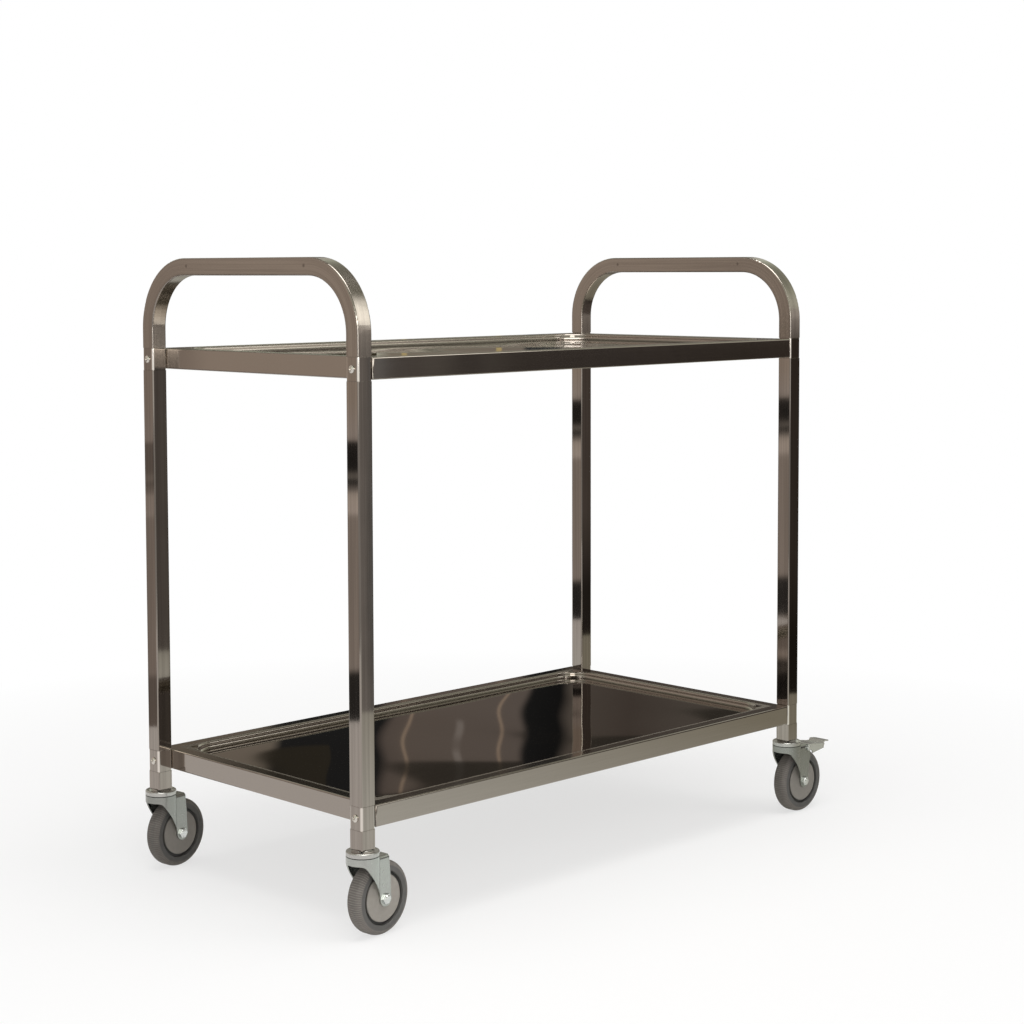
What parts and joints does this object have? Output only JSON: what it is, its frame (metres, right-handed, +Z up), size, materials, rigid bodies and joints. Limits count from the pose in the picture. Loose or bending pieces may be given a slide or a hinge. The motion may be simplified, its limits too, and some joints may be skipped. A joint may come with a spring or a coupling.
{
  "type": "serving trolley",
  "caption": "Two-tier serving trolley of square tube with pressed trays, bent end handles and swivel castors, brakes on the right pair.",
  "frame": {"origin": "centre of the whole outline, on the floor", "axes": "+X along the trays towards the braked castors, +Y from the front to the back, +Z up"},
  "size_m": [1.0444, 0.5068, 0.915],
  "materials": {
    "stainless": "polished stainless steel",
    "zinc": "bright zinc plated steel",
    "bearing": "polished ball",
    "wheel_disc": "moulded, warm grey",
    "tyre": "dark grey rubber"
  },
  "bodies": {
    "frame": {"handle_left": "stainless", "handle_right": "stainless", "post_front_left": "stainless", "post_rear_left": "stainless", "post_front_right": "stainless", "post_rear_right": "stainless", "leg_front_left": "stainless", "leg_rear_left": "stainless", "leg_front_right": "stainless", "leg_rear_right": "stainless", "block_upper_front_left": "stainless", "block_upper_rear_left": "stainless", "block_upper_front_right": "stainless", "block_upper_rear_right": "stainless", "block_lower_front_left": "stainless", "block_lower_rear_left": "stainless", "block_lower_front_right": "stainless", "block_lower_rear_right": "stainless", "upper_tray": "stainless", "lower_tray": "stainless", "upper_stiffener": "stainless", "lower_stiffener": "stainless", "upper_screws": "stainless", "lower_screws": "stainless", "upper_nuts": "zinc", "lower_nuts": "zinc", "castor_head_front_left": "zinc", "castor_head_rear_left": "zinc", "castor_head_front_right": "zinc", "castor_head_rear_right": "zinc", "swivel_balls": "bearing"},
    "castor_front_left": {"fork_front_left": "zinc", "axle_front_left": "zinc", "bush_front_left": "zinc"},
    "wheel_front_left": {"tyre_front_left": "tyre", "wheel_core_front_left": "wheel_disc"},
    "castor_rear_left": {"fork_rear_left": "zinc", "axle_rear_left": "zinc", "bush_rear_left": "zinc"},
    "wheel_rear_left": {"tyre_rear_left": "tyre", "wheel_core_rear_left": "wheel_disc"},
    "castor_front_right": {"fork_front_right": "zinc", "axle_front_right": "zinc", "bush_front_right": "zinc", "brake_pin_front": "zinc"},
    "wheel_front_right": {"tyre_front_right": "tyre", "wheel_core_front_right": "wheel_disc"},
    "pedal_front": {"brake_pedal_front": "zinc"},
    "castor_rear_right": {"fork_rear_right": "zinc", "axle_rear_right": "zinc", "bush_rear_right": "zinc", "brake_pin_rear": "zinc"},
    "wheel_rear_right": {"tyre_rear_right": "tyre", "wheel_core_rear_right": "wheel_disc"},
    "pedal_rear": {"brake_pedal_rear": "zinc"}
  },
  "joints": [
    {"name": "swivel_front_left", "type": "hinge", "parent": "frame", "child": "castor_front_left", "pos_m": [-0.49925, -0.23042, 0.1145], "axis": [0, 0, 1], "continuous": true},
    {"name": "roll_front_left", "type": "hinge", "parent": "castor_front_left", "child": "wheel_front_left", "pos_m": [-0.47086, -0.22794, 0.051], "axis": [-0.0872, 0.9962, 0], "continuous": true},
    {"name": "swivel_rear_left", "type": "hinge", "parent": "frame", "child": "castor_rear_left", "pos_m": [-0.49925, 0.23008, 0.1145], "axis": [0, 0, 1], "continuous": true},
    {"name": "roll_rear_left", "type": "hinge", "parent": "castor_rear_left", "child": "wheel_rear_left", "pos_m": [-0.47096, 0.23355, 0.051], "axis": [-0.1219, 0.9925, 0], "continuous": true},
    {"name": "swivel_front_right", "type": "hinge", "parent": "frame", "child": "castor_front_right", "pos_m": [0.42575, -0.23042, 0.1145], "axis": [0, 0, 1], "continuous": true},
    {"name": "roll_front_right", "type": "hinge", "parent": "castor_front_right", "child": "wheel_front_right", "pos_m": [0.45425, -0.23042, 0.051], "axis": [0, 1, 0], "continuous": true},
    {"name": "brake_front", "type": "hinge", "parent": "castor_front_right", "child": "pedal_front", "pos_m": [0.46375, -0.23042, 0.1045], "axis": [0, 1, 0], "range_deg": [0, 10]},
    {"name": "swivel_rear_right", "type": "hinge", "parent": "frame", "child": "castor_rear_right", "pos_m": [0.42575, 0.23008, 0.1145], "axis": [0, 0, 1], "continuous": true},
    {"name": "roll_rear_right", "type": "hinge", "parent": "castor_rear_right", "child": "wheel_rear_right", "pos_m": [0.45425, 0.23008, 0.051], "axis": [0, 1, 0], "continuous": true},
    {"name": "brake_rear", "type": "hinge", "parent": "castor_rear_right", "child": "pedal_rear", "pos_m": [0.46375, 0.23008, 0.1045], "axis": [0, 1, 0], "range_deg": [0, 10]}
  ]
}
